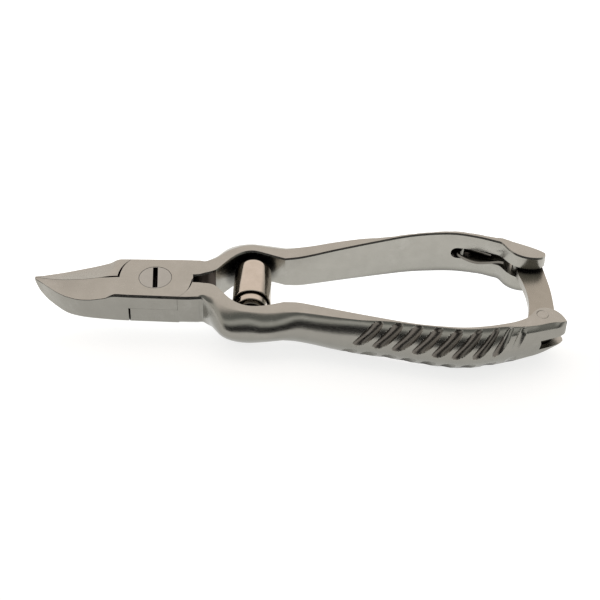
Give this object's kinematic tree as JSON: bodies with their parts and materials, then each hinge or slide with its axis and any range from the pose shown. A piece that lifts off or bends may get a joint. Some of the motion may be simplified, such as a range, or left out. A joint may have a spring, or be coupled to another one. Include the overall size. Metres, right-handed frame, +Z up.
{
  "type": "toenail nipper",
  "caption": "Plier-style toenail nipper with a lap joint, slotted pivot screw, barrel spring between bowed handles, fluted grips and a swinging bar that locks the handle ends.",
  "frame": {"origin": "on the pivot axis, in the flat underside of the joint", "axes": "+X from the jaws towards the grips, +Y towards the back handle, +Z up out of the screw's slotted head"},
  "size_m": [0.1396, 0.0466, 0.0137],
  "materials": {
    "satin_steel": "satin ground stainless steel",
    "bar_steel": "flat ground stainless steel",
    "screw_steel": "turned stainless steel",
    "polished_steel": "polished",
    "spring_steel": "drawn wire and strip"
  },
  "bodies": {
    "front_handle_lever": {"lower_lever": "satin_steel", "pivot_screw": "screw_steel", "front_stud": "screw_steel", "lock_bar_pin": "satin_steel"},
    "back_handle_lever": {"upper_lever": "satin_steel", "back_stud": "screw_steel", "catch_pin": "satin_steel", "lock_spring": "spring_steel", "lock_spring_pin": "satin_steel"},
    "inner_barrel": {"inner_sleeve": "polished_steel", "barrel_spring": "spring_steel"},
    "outer_barrel": {"outer_sleeve": "polished_steel"},
    "lock": {"lock_bar": "bar_steel"}
  },
  "joints": [
    {"name": "handle_pivot", "type": "hinge", "parent": "front_handle_lever", "child": "back_handle_lever", "pos_m": [0, 0, 0.0045], "axis": [0, 0, 1], "range_deg": [0, 15]},
    {"name": "barrel_tilt", "type": "hinge", "parent": "front_handle_lever", "child": "inner_barrel", "pos_m": [0.0257, -0.0091, 0.0045], "axis": [0, 0, 1], "range_deg": [0, 7.5]},
    {"name": "barrel_slide", "type": "slide", "parent": "inner_barrel", "child": "outer_barrel", "axis": [0, 1, 0], "range_m": [0, 0.0065]},
    {"name": "lock_bar_hinge", "type": "hinge", "parent": "front_handle_lever", "child": "lock", "pos_m": [0.1014, -0.0119, 0.0045], "axis": [0, 0, 1], "range_deg": [-100, 0]}
  ],
  "couplings": [
    {"joint": "barrel_tilt", "follows": "handle_pivot", "ratio": 0.5},
    {"joint": "barrel_slide", "follows": "handle_pivot", "m_per_rad": 0.0247}
  ]
}
